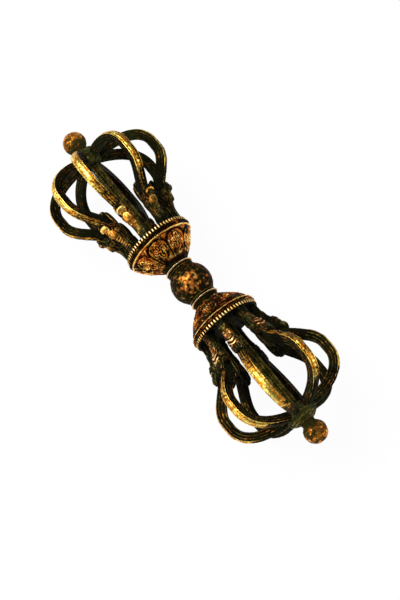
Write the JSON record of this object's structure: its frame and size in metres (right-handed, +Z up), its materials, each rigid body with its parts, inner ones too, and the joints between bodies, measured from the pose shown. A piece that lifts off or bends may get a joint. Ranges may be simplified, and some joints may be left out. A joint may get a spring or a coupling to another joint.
{
  "type": "vajra sceptre",
  "caption": "Ritual sceptre: a grip ball between lotus cups, each carrying a closed cage of curved prongs that grow from makara heads round a straight prong and meet under a ball finial.",
  "frame": {"origin": "on the table it lies on, straight under the centre of the grip ball", "axes": "+X along the sceptre towards the end called b, +Z up"},
  "size_m": [0.1536, 0.0484, 0.0464],
  "materials": {
    "grip": "dark antique brass patina, rubbed to gold on the side that is handled",
    "collar": "antique brass with bright worn crest",
    "lotus": "orange-gold brass petals with near-black patina in the chased grooves",
    "rim": "yellow brass beads, dark between the beads",
    "bar": "green-black patina, little worn",
    "makara": "green-black patina in the carving, gold on brow and snout",
    "prong": "worn yellow brass on the outer band, green-black patina on the sides",
    "hub": "green-brown patina",
    "finial": "reddish-gold worn brass with dark patina towards the neck"
  },
  "bodies": {
    "root": {"grip_ball": "grip", "collar_ring_a": "collar", "lotus_cup_a": "lotus", "beaded_rim_a": "rim", "middle_prong_a": "bar", "tip_hub_a": "hub", "ball_finial_a": "finial", "makara_head_a1": "makara", "makara_head_a2": "makara", "makara_head_a3": "makara", "makara_head_a4": "makara", "makara_head_a5": "makara", "makara_head_a6": "makara", "makara_head_a7": "makara", "makara_head_a8": "makara", "curved_prong_a1": "prong", "curved_prong_a2": "prong", "curved_prong_a3": "prong", "curved_prong_a4": "prong", "curved_prong_a5": "prong", "curved_prong_a6": "prong", "curved_prong_a7": "prong", "curved_prong_a8": "prong", "collar_ring_b": "collar", "lotus_cup_b": "lotus", "beaded_rim_b": "rim", "middle_prong_b": "bar", "tip_hub_b": "hub", "ball_finial_b": "finial", "makara_head_b1": "makara", "makara_head_b2": "makara", "makara_head_b3": "makara", "makara_head_b4": "makara", "makara_head_b5": "makara", "makara_head_b6": "makara", "makara_head_b7": "makara", "makara_head_b8": "makara", "curved_prong_b1": "prong", "curved_prong_b2": "prong", "curved_prong_b3": "prong", "curved_prong_b4": "prong", "curved_prong_b5": "prong", "curved_prong_b6": "prong", "curved_prong_b7": "prong", "curved_prong_b8": "prong"}
  },
  "joints": []
}
